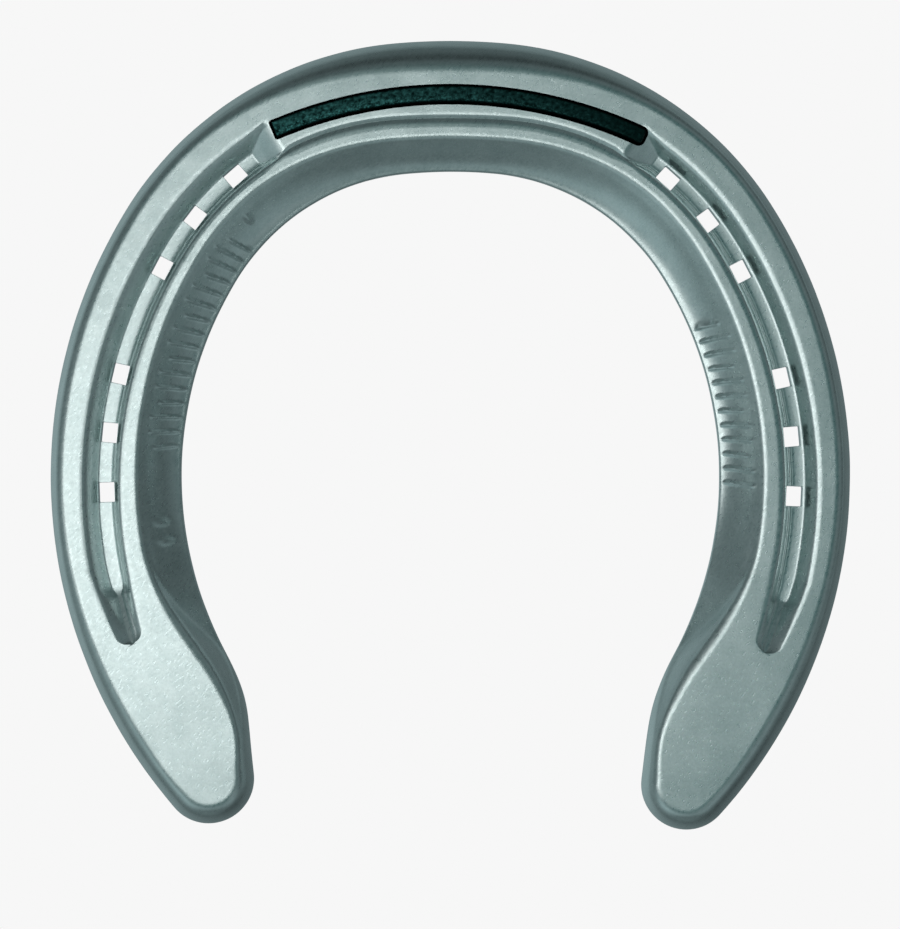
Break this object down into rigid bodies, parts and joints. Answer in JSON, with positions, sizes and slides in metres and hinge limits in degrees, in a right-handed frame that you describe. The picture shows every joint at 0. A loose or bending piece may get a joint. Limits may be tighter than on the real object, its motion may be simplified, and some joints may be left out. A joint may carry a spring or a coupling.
{
  "type": "horseshoe",
  "caption": "Creased aluminium horseshoe with punched nail holes, a dished inner slope, flat heel pads and a steel wear bar let into the toe.",
  "frame": {"origin": "middle of the shoe's box in plan, on the hoof face", "axes": "+X to the right across the branches seen from the ground side, +Y towards the toe, +Z out of the ground face, away from the hoof"},
  "size_m": [0.122, 0.1204, 0.0094],
  "materials": {
    "shoe_aluminium": "satin, as forged and tumbled, with a fine grain",
    "wear_bar_steel": "rough dark scale with a blue-green tint"
  },
  "bodies": {
    "root": {"shoe_body": "shoe_aluminium", "toe_wear_bar": "wear_bar_steel"}
  },
  "joints": []
}
